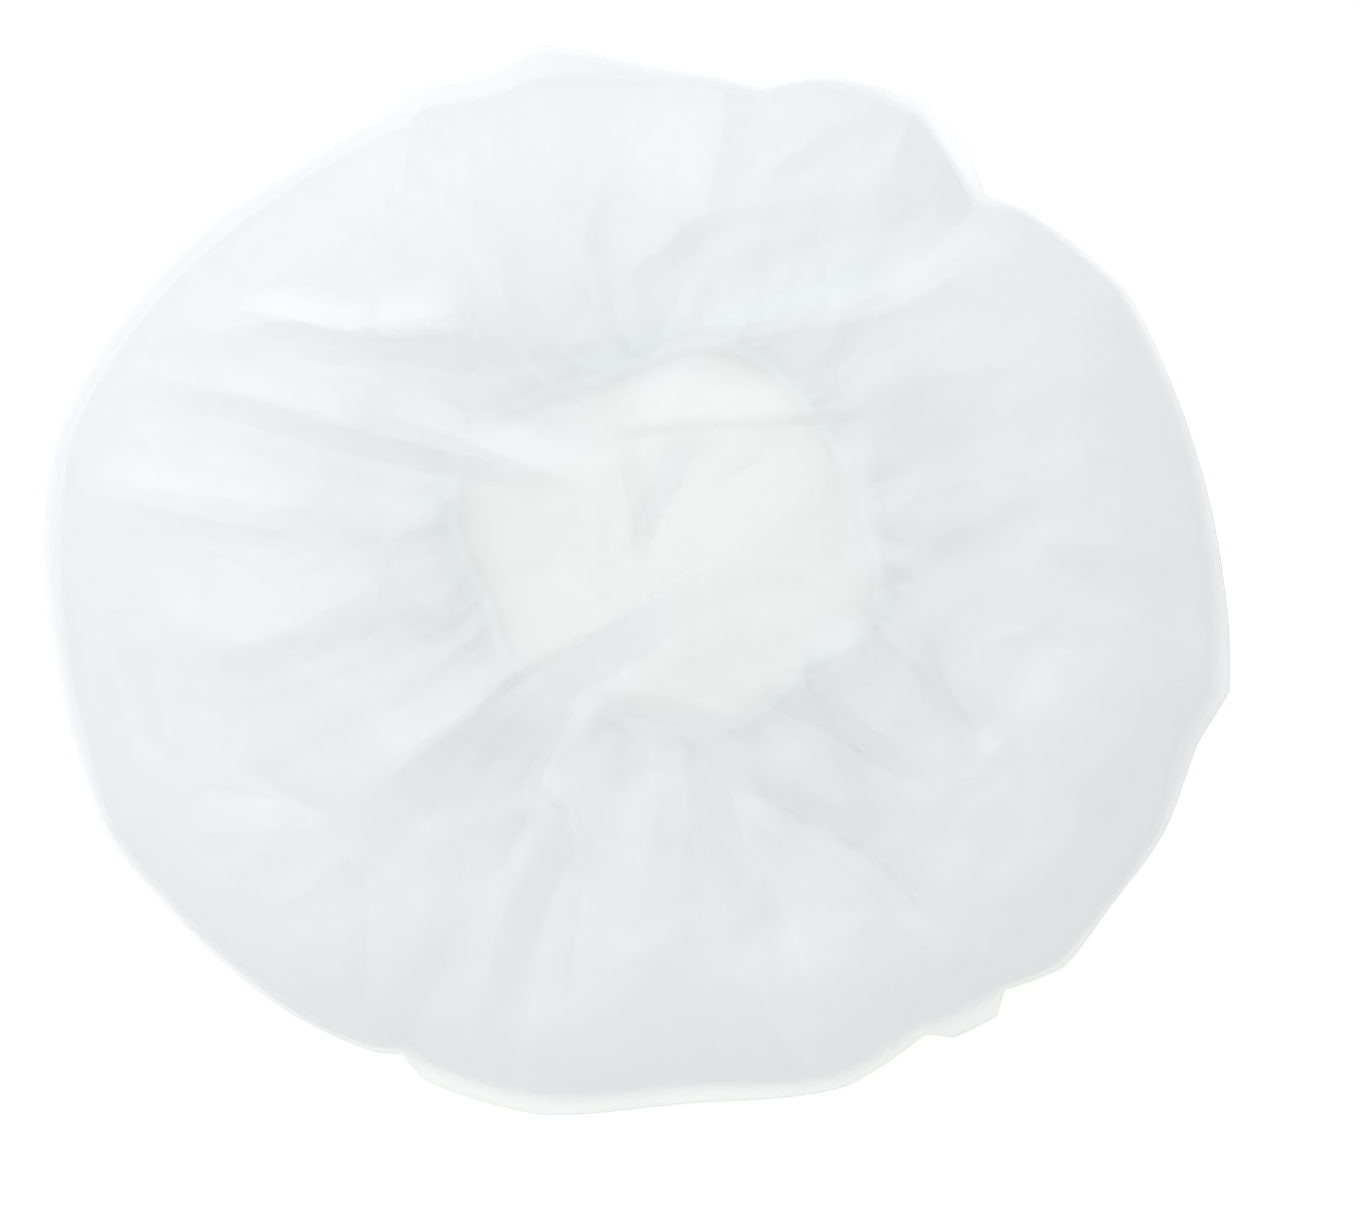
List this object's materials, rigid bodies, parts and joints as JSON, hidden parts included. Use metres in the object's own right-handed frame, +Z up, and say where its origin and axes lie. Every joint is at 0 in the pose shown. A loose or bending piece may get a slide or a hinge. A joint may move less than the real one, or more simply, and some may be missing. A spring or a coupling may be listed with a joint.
{
  "type": "shower cap",
  "caption": "Thin translucent film shower cap lying crown up, with radial folds, a pressed lip round its edge and a gathered underside ending in an elastic hem round the head opening.",
  "frame": {"origin": "on the table, under the middle of the flattened cap's spread", "axes": "+Z up through the crown, +X along the widest spread, +Y away from a viewer at the front edge"},
  "size_m": [0.2503, 0.2252, 0.0248],
  "materials": {
    "film": "frosted translucent film",
    "elastic": "matt white"
  },
  "bodies": {
    "root": {"cap_film": "film", "elastic_band": "elastic"}
  },
  "joints": []
}
